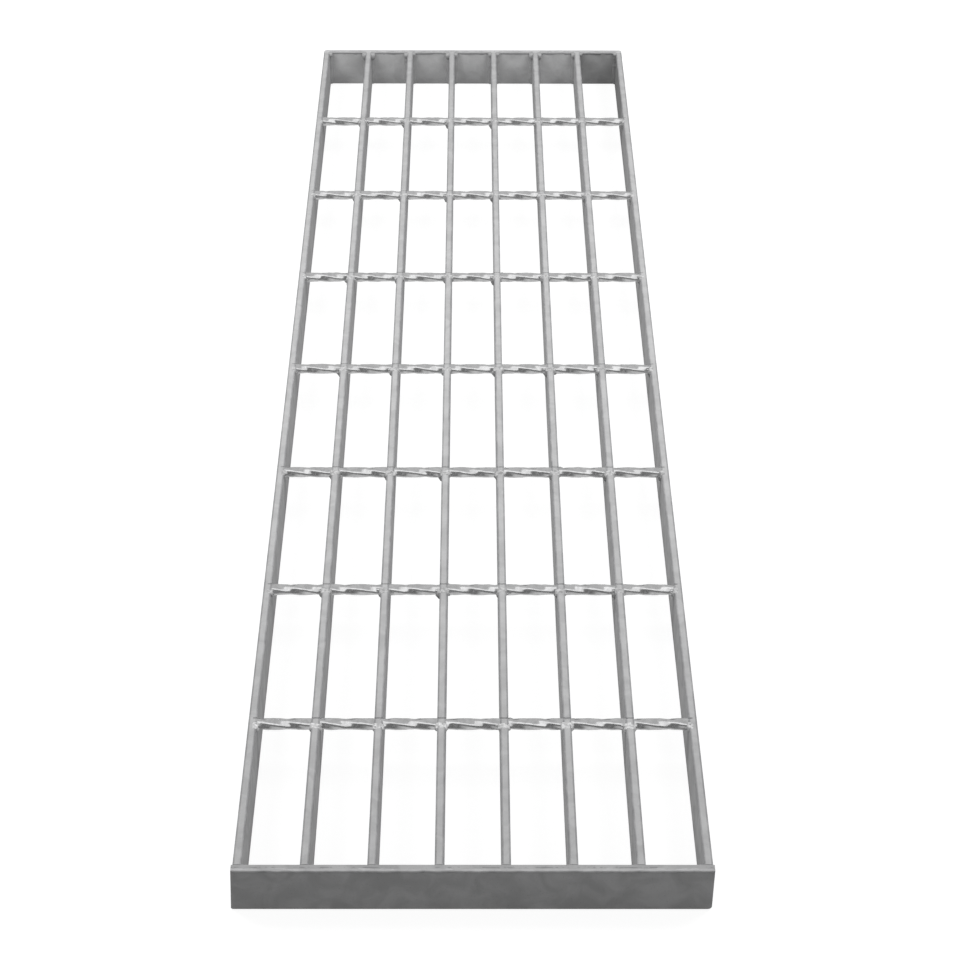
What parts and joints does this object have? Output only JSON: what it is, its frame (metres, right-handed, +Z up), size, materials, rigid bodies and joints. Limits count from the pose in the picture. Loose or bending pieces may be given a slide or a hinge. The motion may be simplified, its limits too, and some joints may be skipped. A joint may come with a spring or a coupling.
{
  "type": "steel grating",
  "caption": "Oblong walkway grating of upright flat steel bars joined by twisted square cross bars, closed by a flat bar across each end, galvanised.",
  "frame": {"origin": "middle of the footprint, on the underside of the bars", "axes": "+X across the bearing bars, +Y along the bearing bars towards the back end, +Z up out of the walking surface"},
  "size_m": [0.2164, 0.8, 0.025],
  "materials": {
    "bearing_bar_zinc": "hot-dip galvanised, matt pale grey, faintly mottled",
    "cross_bar_zinc": "hot-dip galvanised, brighter and smoother on the twisted faces",
    "end_band_zinc": "hot-dip galvanised, matt grey with soft cloudy patches",
    "weld_zinc": "zinc-coated weld bead, lumpy"
  },
  "bodies": {
    "root": {"bearing_bar_1": "bearing_bar_zinc", "bearing_bar_2": "bearing_bar_zinc", "bearing_bar_3": "bearing_bar_zinc", "bearing_bar_4": "bearing_bar_zinc", "bearing_bar_5": "bearing_bar_zinc", "bearing_bar_6": "bearing_bar_zinc", "bearing_bar_7": "bearing_bar_zinc", "bearing_bar_8": "bearing_bar_zinc", "cross_bar_1": "cross_bar_zinc", "cross_bar_2": "cross_bar_zinc", "cross_bar_3": "cross_bar_zinc", "cross_bar_4": "cross_bar_zinc", "cross_bar_5": "cross_bar_zinc", "cross_bar_6": "cross_bar_zinc", "cross_bar_7": "cross_bar_zinc", "front_end_band": "end_band_zinc", "back_end_band": "end_band_zinc", "front_end_welds": "weld_zinc", "back_end_welds": "weld_zinc"}
  },
  "joints": []
}
